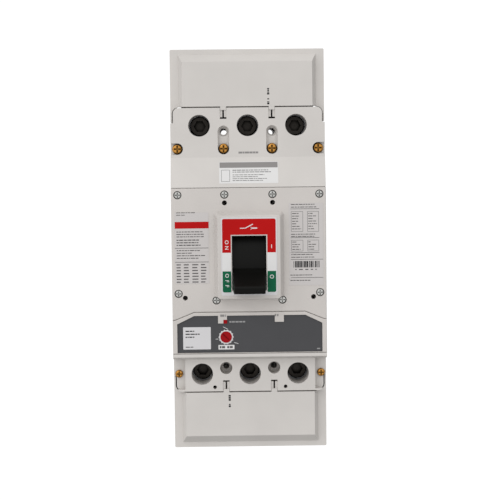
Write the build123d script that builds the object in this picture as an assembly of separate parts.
from build123d import *
import math
import os

# Molded case breaker: three poles, thermal-magnetic trip unit, box lugs. Millimetres.
#
# X runs across the poles, Y goes into the mounting wall and Z runs up to the line end.
# The origin is on the back face, in the middle of the four mounting holes.
# "Depth" is the distance out from the back face, so depth d lies at y = -d.
# It is modelled switched off: the handle is down and the contacts are open.

# ---- driving dimensions --------------------------------------------------------------
body_width = 139.2
body_height = 257.3
pole_pitch = 43.7
base_depth = 52.0          # back face to the joint between base and cover
terminal_depth = 85.0      # front face over the terminals
middle_depth = 94.0        # front face of the accessory and trip unit covers
deck_depth = 84.0          # the deck that those two covers sit on
platform_depth = 103.1     # front face of the raised platform around the handle
corner_radius = 5.0
side_wall = 4.2
partition_wall = 3.2
shell_wall = 3.0
deck_wall = 4.0
end_wall = 3.5
base_floor = 8.0
base_foot_depth = 30.0     # up to here the base is a plain block
terminal_floor = 9.0
sliding_gap = 0.3          # between separate moulded covers
end_cover_gap = 1.1        # the dark line between the case and the end covers
running_gap = 0.05         # radial clearance of shafts that turn

# zones along Z
slope_top = 57.1           # where the accessory cover meets the line-end slope
slope_foot = 84.0
line_barrier = (88.5, 95.0)
load_barrier = (-98.2, -95.0)
step_top = -93.1
step_edge = -96.0
step_foot = -99.2
well_bottom = -57.2        # deck opening for the handle, and the rib under it
well_top = 42.0
trip_zone = (-94.6, -58.8)

# mounting and terminals
mount_spacing_z = 214.8
mount_hole_radius = 2.9
mount_counterbore = 5.6
mount_seat_depth = 70.0
mount_ring_radius = 4.3    # shallow counterbore at the line end, inside the slot recess
recess_depth = 80.5        # floor of the slot recesses and of the cover screw seats
slot_recess_width = 10.3
terminal_z = 112.7
access_hole_radius = 9.8
chimney_radius = 11.4      # the wall round each access hole, down to just over the lug
chimney_foot = 60.0
tongue_half = 10.5
tongue_depth = (15.0, 20.0)
tongue_slack = 0.4         # the slot over the tongue, open to the wire bore
wire_bore_radius = 11.0
wire_depth = tongue_depth[1] + wire_bore_radius
label_thickness = 0.25
lug_half = 15.0
lug_length = 24.0
lug_top = 54.0
lug_bottom = 9.3
set_screw_radius = 8.9
set_screw_socket = 5.6

# end covers
end_cover_length = 51.65
cheek_thickness = 1.3      # the end covers wrap the case sides with thin cheeks
cheek_reach = 12.5
end_corner_radius = 1.2
end_lip = 4.5              # lips on the case that close the gap from behind
end_lip_depth = (67.5, 70.5)
end_rim_depth = 77.0
end_panel_depth = 85.0
end_panel_half = 58.6
end_panel_bevel = 3.8
end_window_radius = 13.0

# handle
handle_pivot = (-10.0, 45.0)     # (z, depth)
handle_half_swing = 16.0
shutter_radius = 53.0
shutter_thickness = 2.0
shutter_half_angle = 45.0
shutter_half_width = 17.5
knob_nose_radius = 84.0
knob_root_half = 15.0
knob_nose_half = 13.5
knob_nose_round = 1.6
bridge_radius = (46.0, 48.5)
spring_bar_radius = 37.0
opening_half = 15.4
opening_z = (-35.0, 14.1)
platform_half = 28.0
platform_z = (-42.7, 32.0)
platform_flare = (3.6, 1.2, 3.4)   # how much the base is wider: sides, bottom, top

# switching mechanism, side view (z, depth)
contact_pivot = (-22.0, 24.0)
contact_opening = 30.0
arm_length = 64.0
arm_half = 3.5
link_pin_radius_out = 22.0
link_closed_angle = 10.0
upper_pin = (-2.0, 72.0)
upper_link = 18.5
lower_link = 26.0
knee_play = (0.8, 1.0)     # centre of the lower links' oversize eye, along and across
eye_radius = 3.45
cradle_pin = (30.0, 56.0)
latch_pin = (-46.0, 50.0)
latch_tail_half = 1.2
latch_clearance = 0.8
trip_axis = (-78.0, 56.0)
armature_rod = (-87.0, 38.0)
crossbar_radius = 8.0
hub_radius = 12.0
pin_radius = 2.0

# blind holes for sealing wire, through the accessory cover into the cover
sealing_holes = [(21.6, 43.3), (-21.6, 43.3), (57.8, -42.1), (-57.8, -42.1)]
sealing_hole_radius = 2.25

# trip unit front
button_place = (-22.1, -63.9)
button_half = 1.6
dial_place = (-21.5, -77.9)
dial_radius = 5.1
panel_half = 65.3
panel_z = (-91.8, -58.6)

pole_x = [-pole_pitch, 0.0, pole_pitch]
pole_names = ["a", "b", "c"]
half_width = body_width / 2
half_height = body_height / 2
partition_x = [-pole_pitch / 2, pole_pitch / 2]
mount_z = mount_spacing_z / 2

FRONT = Plane(origin=(0, 0, 0), x_dir=(1, 0, 0), z_dir=(0, -1, 0))
SIDE = Plane(origin=(0, 0, 0), x_dir=(0, 0, 1), z_dir=(1, 0, 0))


# ---- small tools ---------------------------------------------------------------------
def front(sketch, d0, d1):
    """Raise a sketch drawn in (x, z) from depth d0 to depth d1."""
    return extrude(FRONT.offset(d0) * sketch, d1 - d0)


def side(sketch, x0, x1):
    """Carry a sketch drawn in (z, depth) across from x0 to x1."""
    return extrude(SIDE.offset(x0) * sketch, x1 - x0)


def rect(x0, x1, y0, y1):
    return Pos((x0 + x1) / 2, (y0 + y1) / 2) * Rectangle(x1 - x0, y1 - y0)


def disc(x, y, radius):
    return Pos(x, y) * Circle(radius)


def outline(points):
    return make_face(Polyline(points, close=True))


def block(x0, x1, z0, z1, d0, d1):
    return front(rect(x0, x1, z0, z1), d0, d1)


def turned(sketch, centre, degrees):
    """Turn a sketch drawn about (0, 0) and put its origin at a centre."""
    return Pos(*centre) * (Rot(0, 0, degrees) * sketch)


def polar(centre, radius, degrees):
    angle = math.radians(degrees)
    return (centre[0] + radius * math.cos(angle), centre[1] + radius * math.sin(angle))


def heading(start, end):
    return math.degrees(math.atan2(end[1] - start[1], end[0] - start[0]))


def bar(start, end, half):
    """A straight bar with round ends between two points."""
    length = math.dist(start, end)
    body = rect(0, length, -half, half) + disc(0, 0, half) + disc(length, 0, half)
    return turned(body, start, heading(start, end))


def ring_sector(inner, outer, half_angle):
    """Part of a ring about (0, 0), centred on the second axis."""
    reach = outer * 2
    wedge = outline([
        (0, 0),
        polar((0, 0), reach, 90 - half_angle),
        (0, reach * 1.5),
        polar((0, 0), reach, 90 + half_angle),
    ])
    return (Circle(outer) - Circle(inner)) & wedge


def pole_span(x):
    """The clear width of one pole between its walls."""
    reach = pole_pitch / 2 - partition_wall / 2
    low = x - reach if x > -1 else -(half_width - side_wall)
    high = x + reach if x < 1 else half_width - side_wall
    return low, high


def pan_screw(x, z, seat, head_radius, head_height, shank_radius, length):
    """A cross-recessed pan head screw, its head seated at one depth."""
    head = front(disc(x, z, head_radius), seat, seat + head_height)
    rim = head.faces().sort_by(Axis.Y)[0].edges()
    head = fillet(rim, head_height * 0.6)
    screw = head + front(disc(x, z, shank_radius), seat - length, seat)
    arm = head_radius * 0.66
    slot = head_radius * 0.17
    top = seat + head_height
    deep = head_height * 0.7
    screw -= block(x - arm, x + arm, z - slot, z + slot, top - deep, top)
    screw -= block(x - slot, x + slot, z - arm, z + arm, top - deep, top)
    return screw


def coil(start, end, radius, wire, turns):
    """A helical spring drawn from one (x, y, z) point to another."""
    span = Vector(*end) - Vector(*start)
    path = Helix(pitch=span.length / turns, height=span.length, radius=radius)
    section = Plane(origin=path @ 0, z_dir=path % 0) * Circle(wire)
    spring = sweep(section, path=path)
    return Plane(origin=start, z_dir=span.normalized()) * spring


def save(name, *solids):
    """Write one node, as a single solid or a group of separate solids."""
    shape = solids[0] if len(solids) == 1 else Compound(children=list(solids))
    export_step(shape, f"parts/{name}.step")


# ---- linkage geometry ----------------------------------------------------------------
def knee(pin):
    """Where the two toggle links meet when the lower one hangs on this pin."""
    reach = math.dist(upper_pin, pin)
    along = (upper_link ** 2 - lower_link ** 2 + reach ** 2) / (2 * reach)
    away = math.sqrt(upper_link ** 2 - along ** 2)
    ux = (pin[0] - upper_pin[0]) / reach
    uy = (pin[1] - upper_pin[1]) / reach
    return (upper_pin[0] + along * ux + away * uy, upper_pin[1] + along * uy - away * ux)


link_pin = polar(contact_pivot, link_pin_radius_out, link_closed_angle + contact_opening)
knee_pin = knee(link_pin)
handle_angle = handle_half_swing
bar_centre = polar(handle_pivot, spring_bar_radius, 90 + handle_angle)


# ---- moulded case --------------------------------------------------------------------
def body_outline():
    """The case from the front: both ends step in where the end covers' cheeks lie."""
    step = cheek_thickness + end_cover_gap
    ends = RectangleRounded(body_width - 2 * step, body_height, corner_radius)
    return ends + Rectangle(body_width, body_height - 2 * (cheek_reach + end_cover_gap))


def mounting_bosses(d0, d1):
    """Thick posts in the two partitions, round the mounting holes and T slots."""
    posts = []
    for x in partition_x:
        for sign in (-1, 1):
            z = sign * mount_z
            posts.append(front(disc(x, z, mount_counterbore + 1.0), d0, d1))
            ends = sorted([sign * (terminal_z + 1.5), sign * half_height])
            posts.append(block(x - 4.6, x + 4.6, ends[0], ends[1], d0, d1))
    return posts


t_slot_depth = 30.0
t_pocket_half = 2.95
t_pocket_length = 9.4


def t_pocket(x, sign, grow=0.0):
    """The shallow pocket round a T slot, where a tongue of the end cover lies."""
    zs = sorted([sign * (half_height - t_pocket_length), sign * (half_height + 1)])
    half = t_pocket_half + grow
    return block(x - half, x + half, *zs, terminal_depth - 1.2, middle_depth)


def t_slot(x, sign, d0, d1):
    """A T-shaped groove for a phase barrier, open at one end of the case."""
    stem = sorted([sign * (half_height - t_pocket_length), sign * (half_height + 1)])
    head = sorted([sign * (half_height - t_pocket_length + dz) for dz in (-0.6, 0.9)])
    shape = rect(x - 0.75, x + 0.75, *stem) + rect(x - 2.95, x + 2.95, *head)
    return front(shape, d0, d1)


def mounting_holes(d1):
    cuts = []
    for x in partition_x:
        for sign in (-1, 1):
            z = sign * mount_z
            cuts.append(front(disc(x, z, mount_hole_radius), -1, d1))
    return cuts


cover_screw_places = [(sign * x, 91.9) for x in (21.85, 63.6) for sign in (-1, 1)]
load_screw_places = [(-64.9, -113.0), (64.9, -113.0)]


def base_block():
    """The foot keeps its square corners, under the cheeks of the end covers."""
    foot = RectangleRounded(body_width, body_height, end_corner_radius)
    return front(foot, 0, base_foot_depth) + front(body_outline(), base_foot_depth, base_depth)


def make_base():
    base = base_block()
    cuts = []
    for x in pole_x:
        low, high = pole_span(x)
        cuts.append(block(low, high, line_barrier[1], half_height + 1, terminal_floor, base_depth + 1))
        cuts.append(block(low, high, -half_height - 1, load_barrier[0], terminal_floor, base_depth + 1))
        cuts.append(block(low, high, load_barrier[1], line_barrier[0], base_floor, base_depth + 1))
        channel = tongue_half + 0.1
        cuts.append(block(x - channel, x + channel, line_barrier[0] - 1, line_barrier[1] + 2.1,
                          base_floor, base_depth + 1))
        cuts.append(block(x - channel, x + channel, load_barrier[0] - 1, load_barrier[1] + 1,
                          base_floor, base_depth + 1))
    inner = half_width - side_wall
    cuts.append(block(-inner, inner, load_barrier[1], trip_zone[1] + 1.5, base_floor, base_depth + 1))
    base -= cuts
    base += mounting_bosses(0, base_depth)
    for x, z in cover_screw_places + load_screw_places:
        base += front(disc(x, z, 4.4), 0, base_depth)
    for x in pole_x:
        base += block(x - 9, x + 9, -56, -48, base_floor, 12)
    base &= base_block()
    journal = crossbar_radius + running_gap
    saddle = disc(*contact_pivot, journal)
    z, d = contact_pivot
    saddle += rect(z - journal, z + journal, d, base_depth + 1)
    cuts = mounting_holes(base_depth + 1)
    for x in partition_x:
        cuts.append(side(saddle, x - 3, x + 3))
        cuts.append(t_slot(x, 1, t_slot_depth, base_depth + 1))
        cuts.append(t_slot(x, -1, t_slot_depth, base_depth + 1))
    for x, z in cover_screw_places + load_screw_places:
        cuts.append(front(disc(x, z, 2.05), base_depth - 22, base_depth + 1))
    return base - cuts


def cover_profile():
    """The cover seen from the side: terminal faces, the two slopes and the deck."""
    return outline([
        (-half_height, base_depth), (half_height, base_depth), (half_height, terminal_depth),
        (slope_foot, terminal_depth), (slope_top, middle_depth), (slope_top, deck_depth),
        (step_top, deck_depth), (step_top, middle_depth), (step_edge, middle_depth),
        (step_foot, terminal_depth),
        (-half_height, terminal_depth),
    ])


def cover_cavities():
    cuts = []
    for x in pole_x:
        low, high = pole_span(x)
        low, high = max(low, -60.0), min(high, 60.0)
        cuts.append(block(low, high, line_barrier[1], half_height - end_wall,
                          base_depth - 1, terminal_depth - 5))
        cuts.append(block(low, high, -half_height + end_wall, load_barrier[0],
                          base_depth - 1, terminal_depth - 8))
        low, high = pole_span(x)
        cuts.append(block(low, high, 45.5, line_barrier[0], base_depth - 1, deck_depth - deck_wall))
        ceiling = deck_depth - deck_wall if abs(x) < 1 else 66.0
        cuts.append(block(low, high, -56.0, 43.0, base_depth - 1, ceiling))
    return cuts


def cover_openings():
    """Everything cut through the cover from the front."""
    cuts = []
    well_half = pole_pitch / 2 - partition_wall / 2
    cuts.append(block(-well_half, well_half, well_bottom, well_top, base_depth - 1, middle_depth + 1))
    trip_half = half_width - side_wall - 1.0
    cuts.append(block(-trip_half, trip_half, *trip_zone, base_depth - 1, deck_depth + 1))
    latch_top = latch_pin[1] + latch_tail_half + latch_clearance
    cuts.append(block(-6.5, 6.5, trip_zone[1] - 1, latch_pin[0] + 6, latch_top - 12, latch_top))
    for sign in (-1, 1):
        xs = sorted([sign * 27.0, sign * 59.0])
        cuts.append(block(*xs, -34, 34, 68.5, deck_depth + 1))
        cuts.append(block(*sorted([sign * 59.2, sign * (half_width + 1)]), -127.0, -98.3, 78.0,
                          middle_depth + 1))
    for x in pole_x:
        for z in (-terminal_z, terminal_z):
            cuts.append(front(disc(x, z, access_hole_radius), base_depth, middle_depth))
    for x in partition_x:
        slot = disc(x, mount_z, slot_recess_width / 2)
        slot += rect(x - slot_recess_width / 2, x + slot_recess_width / 2, 91.9, mount_z)
        slot += disc(x, 91.9, slot_recess_width / 2)
        cuts.append(front(slot, recess_depth, middle_depth))
        cuts.append(front(disc(x, mount_z, mount_ring_radius), recess_depth - 3.5, middle_depth))
        cuts.append(front(disc(x, -mount_z, mount_counterbore), mount_seat_depth, middle_depth))
        for sign in (-1, 1):
            cuts.append(front(disc(x, sign * mount_z, mount_hole_radius), base_depth - 1, middle_depth))
            cuts.append(t_slot(x, sign, base_depth - 1, middle_depth))
            cuts.append(t_pocket(x, sign))
        cuts.append(front(disc(math.copysign(32.2, x), -124.9, 1.7), 68.0, middle_depth))
    for x, z in sealing_holes:
        cuts.append(front(disc(x, z, sealing_hole_radius), deck_depth - 14, deck_depth + 1))
    for x, z in cover_screw_places:
        if abs(x) > 30:
            notch = disc(x, z, 5.2)
            notch += rect(*sorted([x, math.copysign(half_width + 1, x)]), z - 5.2, z + 5.2)
            cuts.append(front(notch, recess_depth, middle_depth))
        cuts.append(front(disc(x, z, 2.05), base_depth - 1, middle_depth))
    for x, z in load_screw_places:
        cuts.append(front(disc(x, z, 2.05), base_depth - 1, middle_depth))
    return cuts


def make_cover():
    cover = side(cover_profile(), -half_width, half_width)
    cover &= front(body_outline(), base_depth, middle_depth)
    cover -= cover_cavities()
    cover += [boss & cover_envelope() for boss in mounting_bosses(base_depth, terminal_depth - 1)]
    for x in pole_x:
        for z in (-terminal_z, terminal_z):
            chimney = front(disc(x, z, chimney_radius), chimney_foot, terminal_depth - 1)
            cover += chimney & cover_envelope()
    for low, high in [(-60.0, -24.0), (-19.7, 19.7), (24.0, 60.0)]:
        for sign in (-1, 1):
            lip = sorted([sign * (half_height - 1), sign * (half_height + end_lip)])
            cover += block(low, high, *lip, *end_lip_depth)
    for x, z in cover_screw_places:
        cover += front(disc(x, z, 4.4), base_depth, terminal_depth - 1) & cover_envelope()
    return cover - cover_openings()


def cover_envelope():
    whole = side(cover_profile(), -half_width, half_width)
    return whole & front(body_outline(), base_depth, middle_depth)


accessory_screw_places = [
    (sign * x, z) for x, z in [(63.7, 50.6), (21.6, 50.7), (63.8, -38.2), (29.7, -44.5)] for sign in (-1, 1)
]


def accessory_outline(inset):
    """The accessory cover from the front, with its two chamfered lower ends."""
    w = half_width - inset
    return outline([
        (-w, slope_top - sliding_gap - inset), (w, slope_top - sliding_gap - inset),
        (w, -62.2 + inset), (67.5 - inset / 2, -62.2 + inset), (50 - inset / 2, -55.1 + inset),
        (-50 + inset / 2, -55.1 + inset), (-67.5 + inset / 2, -62.2 + inset), (-w, -62.2 + inset),
    ])


def platform(inset, d0, d1):
    """The raised platform round the handle, narrower at its front face."""
    sides, bottom, top = platform_flare
    z0, z1 = platform_z
    low = rect(-platform_half - sides + inset, platform_half + sides - inset,
               z0 - bottom + inset, z1 + top - inset)
    high = rect(-platform_half + inset, platform_half - inset, z0 + inset, z1 - inset)
    return loft([FRONT.offset(d0) * low, FRONT.offset(d1) * high])


def make_accessory_cover():
    cover = front(accessory_outline(0), deck_depth, middle_depth)
    front_edges = cover.edges().filter_by_position(Axis.Y, -middle_depth - 0.01, -middle_depth + 0.01)
    cover = fillet(front_edges, 1.0)
    cover -= front(accessory_outline(2.6), deck_depth - 1, middle_depth - shell_wall)
    raised = platform(0, middle_depth - 0.5, platform_depth)
    corners = [edge for edge in raised.edges() if abs(edge.center().X) > 20 and abs(edge.length) < 15]
    raised = fillet(corners, 2.6)
    raised = fillet(raised.faces().sort_by(Axis.Y)[0].edges(), 0.9)
    cover += raised
    cover -= platform(shell_wall, middle_depth - shell_wall - 0.5, platform_depth - shell_wall)
    cover -= block(-opening_half, opening_half, *opening_z, middle_depth, platform_depth + 1)
    for x, z in accessory_screw_places:
        cover += front(disc(x, z, 4.6), deck_depth, middle_depth - 2.0) & front(
            accessory_outline(0.5), deck_depth, middle_depth)
    cuts = []
    for x, z in accessory_screw_places:
        cuts.append(front(disc(x, z, 3.7), middle_depth - 2.6, platform_depth + 1))
        cuts.append(front(disc(x, z, 1.6), deck_depth - 1, middle_depth))
    for x, z in sealing_holes:
        cuts.append(front(disc(x, z, sealing_hole_radius), deck_depth - 1, middle_depth + 1))
    return cover - cuts


def trip_window(gap):
    """The trip unit panel from the front, grown by a gap."""
    w = panel_half + gap
    return outline([
        (-w, panel_z[0] - gap), (w, panel_z[0] - gap), (w, -66.0 + gap), (50 + gap, panel_z[1] + gap),
        (-50 - gap, panel_z[1] + gap), (-w, -66.0 + gap),
    ])


def make_trip_unit_cover():
    w = half_width
    g = sliding_gap
    shape = outline([
        (-w, step_top + g), (w, step_top + g), (w, -62.2 - g), (67.5, -62.2 - g), (50, -55.1 - g),
        (-50, -55.1 - g), (-67.5, -62.2 - g), (-w, -62.2 - g),
    ])
    frame = front(shape, deck_depth, middle_depth)
    front_edges = frame.edges().filter_by_position(Axis.Y, -middle_depth - 0.01, -middle_depth + 0.01)
    frame = fillet(front_edges, 0.8)
    frame -= front(trip_window(0.2), deck_depth + 4, middle_depth + 1)
    frame -= block(-62.2, 62.2, -90.6, -64.0, deck_depth - 1, middle_depth)
    for x0, x1, z1 in [(-28.6, -20.5, -65.4), (22.6, 30.8, -64.5)]:
        tab = block(x0, x1, z1, -57.5, middle_depth - 1.2, middle_depth)
        frame += tab
    button = button_half + 0.15
    x, z = button_place
    return frame - block(x - button, x + button, z - button, z + button, deck_depth, middle_depth + 1)


def make_trip_unit_panel():
    panel = front(trip_window(0), deck_depth + 4, middle_depth - 1.2)
    x, z = button_place
    button = button_half + 0.15
    panel -= block(x - button, x + button, z - button, z + button, deck_depth, middle_depth)
    panel -= front(disc(*dial_place, dial_radius + running_gap), deck_depth, middle_depth)
    return panel


def end_cheeks(sign, start):
    """The thin sides that wrap the end of the case, with its rounded corners cut out."""
    base_line = half_height - cheek_reach
    sides = rect(-half_width, half_width, *sorted([sign * base_line, sign * (start + corner_radius)]))
    gap = end_cover_gap
    width = body_width - 2 * cheek_thickness
    inner = RectangleRounded(width, body_height + 2 * gap, corner_radius + gap)
    return front(sides - inner, base_foot_depth + end_cover_gap, end_rim_depth)


def end_tongues(sign, start):
    """Two tongues that reach into the T slot pockets over the gap."""
    zs = sorted([sign * (half_height - 2.0), sign * (start + 1.5)])
    depths = (terminal_depth - 1.1, terminal_depth - 0.1)
    return [block(x - t_pocket_half + 0.3, x + t_pocket_half - 0.3, *zs, *depths) for x in partition_x]


def make_end_cover(sign):
    """A hollow cover over one end's cables, with a window for each pole's cable."""
    start = half_height + end_cover_gap
    stop = start + end_cover_length
    zs = sorted([sign * start, sign * stop])
    middle = sign * (start + stop) / 2
    shell = front(Pos(0, middle) * RectangleRounded(body_width, end_cover_length, end_corner_radius), 0,
                  end_rim_depth)
    shell += end_cheeks(sign, start)
    panel_end = stop - 11.7
    bevel = end_panel_bevel
    low_half = end_panel_half + bevel
    low = rect(-low_half, low_half, *sorted([sign * start, sign * (panel_end + 7.5)]))
    high = rect(-end_panel_half, end_panel_half, *sorted([sign * start, sign * panel_end]))
    shell += loft([FRONT.offset(end_rim_depth - 0.5) * low, FRONT.offset(end_panel_depth) * high])
    inner = half_width - shell_wall
    hollow_end = sign * (stop - shell_wall)
    zs = sorted([sign * (start - 1), hollow_end])
    hollow = block(-inner, inner, *zs, -1, end_rim_depth - shell_wall)
    panel_inner = end_panel_half - shell_wall
    hollow += block(-panel_inner, panel_inner, *sorted([sign * (start - 1), sign * (panel_end - 3)]),
                    60, end_panel_depth - shell_wall)
    shell -= hollow
    shell += end_tongues(sign, start)
    for x in partition_x:
        shell += block(x - 1.2, x + 1.2, *zs, 0, end_panel_depth - shell_wall) & front(
            rect(-half_width, half_width, *sorted([sign * start, hollow_end])), 0, end_rim_depth - 1)
    shell += block(-inner - 0.5, inner + 0.5, *sorted([sign * (stop - 12), sign * (stop - 1)]), 0, 2.5)
    for x in pole_x:
        window = Plane(origin=(x, -wire_depth, sign * (stop - 20)), z_dir=(0, 0, sign))
        shell -= extrude(window * Circle(end_window_radius), 30)
    return shell


# ---- labels --------------------------------------------------------------------------


def label(x0, x1, z0, z1, depth, radius=0.6):
    shape = Pos((x0 + x1) / 2, (z0 + z1) / 2) * RectangleRounded(x1 - x0, z1 - z0, radius)
    return front(shape, depth, depth + label_thickness)


def make_handle_label():
    sheet = label(-25.0, 25.0, -39.4, 30.6, platform_depth, 1.5)
    return sheet - block(-opening_half - 0.8, opening_half + 0.8, opening_z[0] - 0.8, opening_z[1] + 0.8,
                         platform_depth - 1, platform_depth + 1)


def make_dial_plate():
    plate = front(disc(*dial_place, 6.3), middle_depth - 1.2, middle_depth - 1.2 + label_thickness)
    return plate - front(disc(*dial_place, dial_radius + running_gap), deck_depth, middle_depth + 1)


# ---- handle --------------------------------------------------------------------------
def knob_profile():
    """The handle seen from the side, drawn straight up from its pivot."""
    return outline([
        (-9.0, bridge_radius[1]), (9.0, bridge_radius[1]), (9.0, 53.5), (7.6, 58.0),
        (3.6, knob_nose_radius - 1.0), (2.6, knob_nose_radius), (-2.6, knob_nose_radius),
        (-3.6, knob_nose_radius - 1.0), (-7.6, 58.0), (-9.0, 53.5),
    ])


def make_handle():
    knob = side(turned(knob_profile(), handle_pivot, handle_angle), -knob_root_half, knob_root_half)
    taper = outline([
        (-knob_root_half, 40), (knob_root_half, 40), (knob_root_half, 101), (knob_nose_half, 130),
        (-knob_nose_half, 130), (-knob_root_half, 101),
    ])
    above = Plane(origin=(0, 0, 60), x_dir=(1, 0, 0), z_dir=(0, 0, -1))
    knob = knob & extrude(above * taper, 160)
    nose = [edge for edge in knob.edges() if knob_radius(edge.center()) > knob_nose_radius - 6]
    return fillet(nose, knob_nose_round)


def knob_radius(point):
    """How far a point lies from the handle's pivot axis."""
    return math.dist((point.Z, -point.Y), handle_pivot)


def make_handle_shutter():
    sector = ring_sector(shutter_radius - shutter_thickness, shutter_radius, shutter_half_angle)
    plate = side(turned(sector, handle_pivot, handle_angle), -shutter_half_width, shutter_half_width)
    hole = turned(rect(-9.05, 9.05, 45, 60), handle_pivot, handle_angle)
    return plate - side(hole, -knob_root_half - running_gap, knob_root_half + running_gap)


def make_handle_yoke():
    leg = disc(0, 0, 6.5) + rect(-6.5, 6.5, 0, bridge_radius[0])
    leg += outline([(-6.5, 36), (6.5, 36), (12, bridge_radius[0]), (12, bridge_radius[1]),
                    (-12, bridge_radius[1]), (-12, bridge_radius[0])])
    leg -= disc(0, 0, 2.5 + running_gap)
    leg -= disc(0, spring_bar_radius, 1.8)
    leg = turned(leg, handle_pivot, handle_angle)
    bridge = turned(rect(-12, 12, *bridge_radius), handle_pivot, handle_angle)
    yoke = side(bridge, -19.8, 19.8)
    for sign in (-1, 1):
        yoke += side(leg, *sorted([sign * 18.0, sign * 19.8]))
    return yoke


# ---- switching mechanism -------------------------------------------------------------
def frame_plate():
    plate = outline([
        (-54, base_floor), (38, base_floor), (38, 40), (36, 62), (20, 77.5), (-24, 77.5), (-54, 62),
    ])
    notch = crossbar_radius + 0.5
    plate -= disc(*contact_pivot, notch)
    plate -= rect(contact_pivot[0] - notch, contact_pivot[0] + notch, base_floor - 1, contact_pivot[1])
    plate -= [disc(*place, radius) for place, radius in frame_pin_places]
    return plate


frame_pin_places = [
    (handle_pivot, 2.5), (cradle_pin, 2.5), (latch_pin, pin_radius),
    ((-50.0, 38.0), pin_radius), ((16.0, 73.5), pin_radius),
]


def make_frame_pins():
    pins = []
    for sign in (-1, 1):
        pins.append(side(disc(*handle_pivot, 2.5), *sorted([sign * 15.6, sign * 19.75])))
        pins.append(side(disc(*cradle_pin, 2.5), *sorted([sign * 13.8, sign * 17.6])))
    for place, radius in frame_pin_places[2:]:
        pins.append(side(disc(*place, radius), -17.6, 17.6))
    return pins


def make_cradle():
    plate = bar(cradle_pin, upper_pin, 4.5) + bar(upper_pin, (-38, 63.5), 4.0)
    plate += rect(-44.4, -36, 60, 66) - rect(-46, -41, 63, 67)
    plate -= disc(*cradle_pin, 2.5 + running_gap)
    cradle = side(rect(-44.4, -40.5, 60, 63), -15.3, 15.3)
    for sign in (-1, 1):
        cradle += side(plate, *sorted([sign * 13.8, sign * 15.3]))
        cradle += side(disc(*upper_pin, pin_radius), *sorted([sign * 12.05, sign * 14.5]))
    return cradle


def make_upper_links():
    link = bar(upper_pin, knee_pin, 3.6)
    link -= disc(*upper_pin, pin_radius + running_gap)
    link -= disc(*knee_pin, pin_radius)
    return [side(link, *sorted([sign * 12.1, sign * 13.6])) for sign in (-1, 1)]


def make_lower_links():
    """The knee end has an oversize eye, because the two links are driven separately."""
    along = heading(knee_pin, link_pin)
    eye = polar(polar(knee_pin, knee_play[0], along), knee_play[1], along - 90)
    link = bar(link_pin, eye, 3.9) + disc(*eye, eye_radius + 1.6)
    link -= disc(*link_pin, pin_radius + running_gap)
    link -= disc(*eye, eye_radius)
    return [side(link, *sorted([sign * 10.4, sign * 11.9])) for sign in (-1, 1)]


def arm_profile():
    """A contact arm lying along the first axis from its pivot."""
    heel = -12.0
    tip = arm_length + 4
    return outline([
        (heel, -5), (44, -5), (54, 1.2), (tip, 1.2), (tip, 8.2), (50, 8.2), (45, 5), (heel, 5),
    ])


def make_crossbar():
    """The insulating bar that carries the three contact arms."""
    bar_solid = side(disc(*contact_pivot, crossbar_radius), -62.0, 62.0)
    for x in pole_x:
        half = 10.1 if abs(x) < 1 else 8.0
        bar_solid += side(disc(*contact_pivot, hub_radius), x - half, x + half)
    ear = bar(contact_pivot, link_pin, 4.5)
    for sign in (-1, 1):
        bar_solid += side(ear, *sorted([sign * 7.0, sign * 10.1]))
        bar_solid += side(disc(*link_pin, pin_radius), *sorted([sign * 7.0, sign * 12.0]))
    slot = turned(rect(-14, 30, -5.05, 5.05), contact_pivot, contact_opening)
    nest = turned(rect(-7, 7, 5.0, 10.5), contact_pivot, contact_opening)
    for x in pole_x:
        bar_solid -= side(slot, x - arm_half - 0.05, x + arm_half + 0.05)
        bar_solid -= side(nest, x - 2.6, x + 2.6)
    return bar_solid


def make_contact_arm(x):
    return side(turned(arm_profile(), contact_pivot, contact_opening), x - arm_half, x + arm_half)


def make_contact_springs():
    """A short folded leaf spring in each hub that presses the arm onto its contact."""
    springs = []
    for x in pole_x:
        leaf = turned(rect(-5.5, 5.5, 5.05, 10.3), contact_pivot, contact_opening)
        for i, (low, high) in enumerate([(4.0, 9.2), (6.2, 12.0)] * 2):
            fold = rect(-3.4 + i * 2.2, -2.4 + i * 2.2, low, high)
            leaf -= turned(fold, contact_pivot, contact_opening)
        springs.append(side(leaf, x - 2.2, x + 2.2))
    return springs


def make_moving_contacts():
    pad = turned(rect(arm_length - 4, arm_length + 4, -0.95, 1.2), contact_pivot, contact_opening)
    return [side(pad, x - 4.5, x + 4.5) for x in pole_x]


def make_main_spring(sign):
    x = sign * 7.0
    start = (x, -knee_pin[1] - 2.7, knee_pin[0])
    end = (x, -bar_centre[1] + 2.5, bar_centre[0])
    return coil(start, end, 2.3, 0.5, 9)


# ---- current path --------------------------------------------------------------------
def make_line_conductor(x):
    """Terminal tongue, run along the floor, and a loop back under the fixed contact."""
    path = rect(93.2, half_height - 1.5, *tongue_depth) + rect(93.2, 97.0, base_floor, tongue_depth[1])
    path += rect(26, 97.0, base_floor, 12.0) + rect(26, 30, base_floor, 21.0)
    path += rect(26, 55, 17.0, 21.0) + rect(52, 55, 17.0, 26.0)
    return side(path, x - tongue_half, x + tongue_half)


def make_load_conductor(x):
    path = rect(-half_height + 1.5, -93.2, *tongue_depth) + rect(-97.0, -93.2, 12.0, tongue_depth[1])
    path += rect(-97.0, -46, 12.0, 16.5)
    return side(path, x - tongue_half, x + tongue_half)


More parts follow.
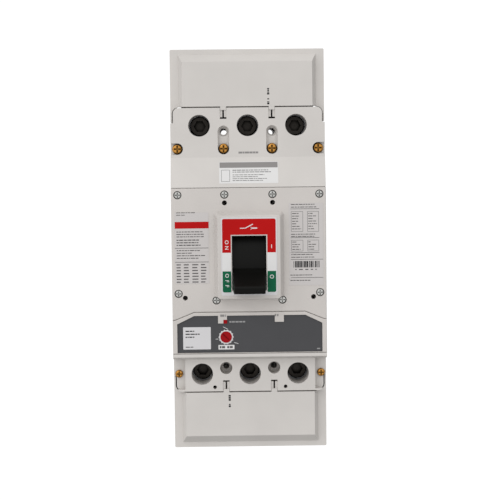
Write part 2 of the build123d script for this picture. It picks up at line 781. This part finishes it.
def make_flexible_connectors():
    """Braided copper links between the arms and the load conductors."""
    face = polar(contact_pivot, 12.03, 180 + contact_opening)
    upper = polar(face, 0.9, 90 + contact_opening)
    lower = polar(face, 0.9, contact_opening - 90)
    ribbons = []
    for x in pole_x:
        strap = outline([
            upper, (-37, 18.9), (-41.5, 21.2), (-46, 18.1), (-53, 18.1),
            (-53, 16.5), (-45.6, 16.5), (-41.3, 19.4), (-37, 17.1), lower,
        ])
        ribbons.append(side(strap, x - arm_half, x + arm_half))
    return ribbons


def make_fixed_contacts():
    return [block(x - 5, x + 5, 38, 46, 21.0, 23.0) for x in pole_x]


def make_arc_chute(x):
    """Two insulating side plates joined across the back of the stack."""
    plate = rect(47.5, 88.0, 27.5, 77.0)
    cheeks = [side(plate, *sorted([x + sign * 14.2, x + sign * 15.8])) for sign in (-1, 1)]
    shell = cheeks[0] + cheeks[1]
    shell += block(x - 15.8, x + 15.8, 86.4, 88.0, 27.5, 77.0)
    return shell


def make_arc_plates():
    """Steel plates with a V mouth that draws the arc in."""
    plates = []
    for x in pole_x:
        outline_plate = rect(x - 14.2, x + 14.2, 49.0, 86.4)
        mouth = outline([(x - 9.5, 48.0), (x + 9.5, 48.0), (x + 2.0, 70.0), (x - 2.0, 70.0)])
        for i in range(8):
            depth = 31.0 + i * 5.6
            plates.append(front(outline_plate - mouth, depth, depth + 1.4))
    return plates


def make_lug(x, sign):
    """A box lug: the tongue lies in its floor and the set screw closes on the cable."""
    z0, z1 = terminal_z - lug_length / 2, terminal_z + lug_length / 2
    lug = block(x - lug_half, x + lug_half, *sorted([sign * z0, sign * z1]), lug_bottom, lug_top)
    bore = Plane(origin=(x, -wire_depth, sign * terminal_z), z_dir=(0, 0, 1)) * Circle(wire_bore_radius)
    lug -= extrude(bore, lug_length, both=True)
    slot_half = tongue_half + running_gap
    lug -= block(x - slot_half, x + slot_half, *sorted([sign * (z0 - 1), sign * (z1 + 1)]),
                 tongue_depth[0], tongue_depth[1] + tongue_slack)
    lug -= front(disc(x, sign * terminal_z, set_screw_radius + running_gap), wire_depth, lug_top + 1)
    return lug


def make_set_screw(x, sign):
    bottom = tongue_depth[1] + 2 * wire_bore_radius + 0.4
    top = lug_top + 4.0
    screw = front(disc(x, sign * terminal_z, set_screw_radius), bottom, top)
    socket = front(Pos(x, sign * terminal_z) * RegularPolygon(set_screw_socket, 6), top - 8, top + 1)
    return chamfer(screw.faces().sort_by(Axis.Y)[0].edges(), 0.8) - socket


# ---- trip unit -----------------------------------------------------------------------
def make_trip_unit_housing():
    z0, z1 = trip_zone[0] + 0.3, trip_zone[1] - 0.3
    housing = block(-62, 62, z0, z1, 20.3, deck_depth - 0.3)
    housing -= block(-60, 60, z0 + 2, z1 - 2, 19, deck_depth - 2.6)
    housing -= block(-9, 9, z1 - 3, z1 + 1, 40, 64)
    housing -= side(disc(*trip_axis, 2.5), -60.9, 60.9)
    housing -= side(disc(*armature_rod, 1.2), -61.2, 61.2)
    x, z = button_place
    housing -= block(x - 1.75, x + 1.75, z - 1.75, z + 1.75, 60, middle_depth)
    housing -= front(disc(*dial_place, 3.0 + running_gap), 60, middle_depth)
    return housing


def make_trip_bar():
    """The bar that the armatures and the button turn to release the latch."""
    body = side(disc(*trip_axis, 4.0), -58.5, 58.5) + side(disc(*trip_axis, 2.45), -60.8, 60.8)
    z, d = trip_axis
    button_x, button_z = button_place
    body += block(button_x - 2.5, button_x + 2.5, z, button_z + 2.0, d, d + 2.5)
    body += block(-6, 6, z, -59.2, d - 1.5, d + 1.5)
    for x in pole_x:
        body += block(x + 5, x + 12, z - 4, z - 2, d, d + 11)
    return body


def make_push_button():
    x, z = button_place
    cap = block(x - button_half, x + button_half, z - button_half, z + button_half,
                trip_axis[1] + 2.8, middle_depth - 0.2)
    collar = block(x - 2.6, x + 2.6, z - 2.6, z + 2.6, trip_axis[1] + 12, trip_axis[1] + 13.5)
    return cap + collar


def make_trip_latch():
    z, d = latch_pin
    half = latch_tail_half
    hook = rect(z - 1.5, z + 1.2, d - 3, 66.5) + rect(z - 1.5, z + 3.2, 63.4, 66.5)
    hook &= disc(*handle_pivot, shutter_radius - shutter_thickness - latch_clearance)
    plate = hook + disc(z, d, 3.6) + rect(-61.0, z, d - half, d + half)
    plate += rect(-61.0, -59.6, d - half, trip_axis[1] - 2.1)
    plate -= disc(z, d, pin_radius + running_gap)
    return side(plate, -5.5, 5.5)


def make_trip_dial():
    x, z = dial_place
    dial = front(disc(x, z, dial_radius), deck_depth + 4.5, middle_depth - 0.4)
    dial += front(disc(x, z, 3.0), trip_axis[1] + 8, deck_depth + 4.5)
    slot = Pos(x, z) * (Rot(0, 0, -45) * Rectangle(dial_radius * 1.5, 1.3))
    return dial - front(slot, middle_depth - 1.6, middle_depth)


def make_magnet_yokes():
    yokes = []
    for x in pole_x:
        shape = rect(x - 14, x + 14, 8.3, 34.0) - rect(x - 11.2, x + 11.2, 11.4, 35.0)
        top = Plane(origin=(0, 0, -84.0), x_dir=(1, 0, 0), z_dir=(0, 0, -1))
        yokes.append(extrude(top * shape, -16.0))
    return yokes


def make_armature(x):
    """A flat iron plate that swings down onto the magnet yoke."""
    z, d = armature_rod
    plate = block(x - 13, x + 13, z + 4, -66, d - 1.2, d + 1.2)
    knuckle = disc(z, d, 2.6) + rect(z, z + 5, d - 1.2, d + 1.2)
    knuckle += rect(z + 0.6, z + 2.4, d, d + 27)
    knuckle -= disc(z, d, 1.2 + running_gap)
    return plate + side(knuckle, x + 5.2, x + 11.8)


def make_bimetals():
    """Upright two-metal strips that bend as the load conductor warms."""
    strips = []
    for x in pole_x:
        strip = block(x - 11, x - 3, -90.6, -89.4, 16.5, 66)
        strip += block(x - 11, x - 3, -92.0, -89.4, 16.5, 17.7)
        strips.append(strip)
    return strips


def make_all():
    os.makedirs("parts", exist_ok=True)
    save("base", make_base())
    save("cover", make_cover())
    save("accessory_cover", make_accessory_cover())
    save("trip_unit_cover", make_trip_unit_cover())
    save("trip_unit_panel", make_trip_unit_panel())
    save("line_end_cover", make_end_cover(1))
    save("load_end_cover", make_end_cover(-1))

    save("line_cover_screws",
         *[pan_screw(x, z, recess_depth, 4.7, 3.2, 2.0, 44) for x, z in cover_screw_places])
    save("load_cover_screws", *[pan_screw(x, z, 78.0, 3.6, 2.6, 2.0, 42) for x, z in load_screw_places])
    save("accessory_cover_screws", *[
        pan_screw(x, z, middle_depth - 2.6, 3.5, 2.2, 1.55, 7.2) for x, z in accessory_screw_places])

    face = middle_depth
    save("handle_label", make_handle_label())
    save("circuit_diagram_label", label(-66.5, -36.0, -29.0, 35.0, face))
    save("data_label", label(36.0, 67.0, -31.7, 42.5, face))
    save("rating_label", label(-60.3, -35.3, -88.9, -68.7, face - 1.2))
    save("dial_plate", make_dial_plate())

    save("handle", make_handle())
    save("handle_shutter", make_handle_shutter())
    save("handle_yoke", make_handle_yoke())
    save("spring_bar", side(disc(*bar_centre, 1.8), -19.8, 19.8))

    plate = frame_plate()
    save("mechanism_frame_left", side(plate, -17.6, -15.6))
    save("mechanism_frame_right", side(plate, 15.6, 17.6))
    save("frame_pins", *make_frame_pins())
    save("cradle", make_cradle())
    save("upper_links", *make_upper_links())
    save("toggle_pin", side(disc(*knee_pin, pin_radius), -13.6, 13.6))
    save("lower_links", *make_lower_links())
    save("main_springs", make_main_spring(-1), make_main_spring(1))
    save("crossbar", make_crossbar())
    save("contact_springs", *make_contact_springs())
    save("moving_contacts", *make_moving_contacts())
    save("fixed_contacts", *make_fixed_contacts())
    save("flexible_connectors", *make_flexible_connectors())
    save("arc_plates", *make_arc_plates())
    save("arc_chutes", *[make_arc_chute(x) for x in pole_x])
    save("load_conductors", *[make_load_conductor(x) for x in pole_x])
    for name, x in zip(pole_names, pole_x):
        save(f"contact_arm_{name}", make_contact_arm(x))
        save(f"line_conductor_{name}", make_line_conductor(x))
        save(f"line_lug_{name}", make_lug(x, 1))
        save(f"load_lug_{name}", make_lug(x, -1))
        save(f"armature_{name}", make_armature(x))
    save("line_lug_screws", *[make_set_screw(x, 1) for x in pole_x])
    save("load_lug_screws", *[make_set_screw(x, -1) for x in pole_x])

    save("trip_unit_housing", make_trip_unit_housing())
    save("trip_bar", make_trip_bar())
    save("push_to_trip_button", make_push_button())
    save("trip_latch", make_trip_latch())
    save("trip_dial", make_trip_dial())
    save("magnet_yokes", *make_magnet_yokes())
    save("bimetals", *make_bimetals())
    save("armature_rod", side(disc(*armature_rod, 1.2), -61.2, 61.2))


make_all()
